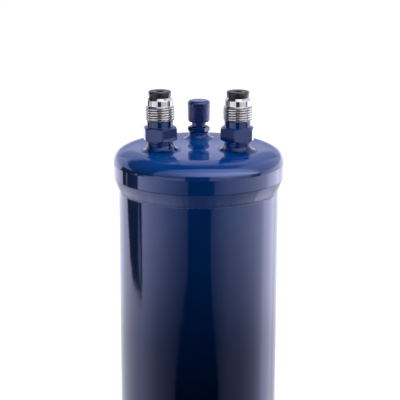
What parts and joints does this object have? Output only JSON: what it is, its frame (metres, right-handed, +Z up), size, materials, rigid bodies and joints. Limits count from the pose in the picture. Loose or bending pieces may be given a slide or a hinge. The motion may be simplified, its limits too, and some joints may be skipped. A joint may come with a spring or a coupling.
{
  "type": "oil separator",
  "caption": "Upright steel vessel with a domed top, flared inlet and outlet, a capped oil return and a float valve in its sump.",
  "frame": {"origin": "axis of the vessel, on the surface it stands on", "axes": "+Z up along the vessel's axis, +X from the inlet to the outlet, +Y to the back, where the oil return is"},
  "size_m": [0.1144, 0.1144, 0.2756],
  "materials": {
    "blue_paint": "gloss, sprayed",
    "plated_steel": "bright nickel plate",
    "black_plastic": "moulded",
    "screen_mesh": "woven wire",
    "bare_steel": "pressed and turned",
    "float_steel": "spun",
    "copper": "drawn",
    "brass": "turned",
    "ferrite": "sintered"
  },
  "bodies": {
    "shell": {"shell_tube": "blue_paint", "top_cap": "blue_paint", "bottom_cap": "blue_paint", "upper_girth_weld": "blue_paint", "lower_girth_weld": "blue_paint", "mounting_boss": "blue_paint", "boss_weld": "blue_paint", "inlet_weld": "blue_paint", "outlet_weld": "blue_paint", "oil_return_weld": "blue_paint", "inlet_fitting": "plated_steel", "outlet_fitting": "plated_steel", "oil_return_fitting": "plated_steel", "inlet_screen": "screen_mesh", "outlet_screen": "screen_mesh", "inlet_screen_collar": "bare_steel", "inlet_screen_cap": "bare_steel", "outlet_screen_collar": "bare_steel", "outlet_screen_cap": "bare_steel", "baffle_plate": "bare_steel", "pivot_pin": "bare_steel", "oil_return_tube": "copper", "valve_body": "brass", "valve_seat": "brass", "magnet": "ferrite"},
    "inlet_plug": {"inlet_plug": "black_plastic"},
    "outlet_plug": {"outlet_plug": "black_plastic"},
    "gasket": {"cap_gasket": "copper"},
    "return_cap": {"oil_return_cap": "blue_paint"},
    "float": {"float_arm": "bare_steel", "float_ball": "float_steel"},
    "needle": {"valve_needle": "bare_steel"}
  },
  "joints": [
    {"name": "inlet_plug_pull", "type": "slide", "parent": "shell", "child": "inlet_plug", "axis": [0, 0, 1], "range_m": [0, 0.02]},
    {"name": "outlet_plug_pull", "type": "slide", "parent": "shell", "child": "outlet_plug", "axis": [0, 0, 1], "range_m": [0, 0.02]},
    {"name": "cap_lift", "type": "slide", "parent": "shell", "child": "gasket", "axis": [0, 0, 1], "range_m": [0, 0.0096]},
    {"name": "cap_turn", "type": "hinge", "parent": "gasket", "child": "return_cap", "pos_m": [0, 0.02, 0.25945], "axis": [0, 0, 1], "range_deg": [0, 2700]},
    {"name": "float_swing", "type": "hinge", "parent": "shell", "child": "float", "pos_m": [0, 0.011, 0.037], "axis": [-1, 0, 0], "range_deg": [0, 20]},
    {"name": "needle_drop", "type": "slide", "parent": "shell", "child": "needle", "axis": [0, 0, -1], "range_m": [0, 0.0033]}
  ],
  "couplings": [
    {"joint": "cap_lift", "follows": "cap_turn", "m_per_rad": 0.00020213},
    {"joint": "needle_drop", "follows": "float_swing", "m_per_rad": 0.009}
  ]
}
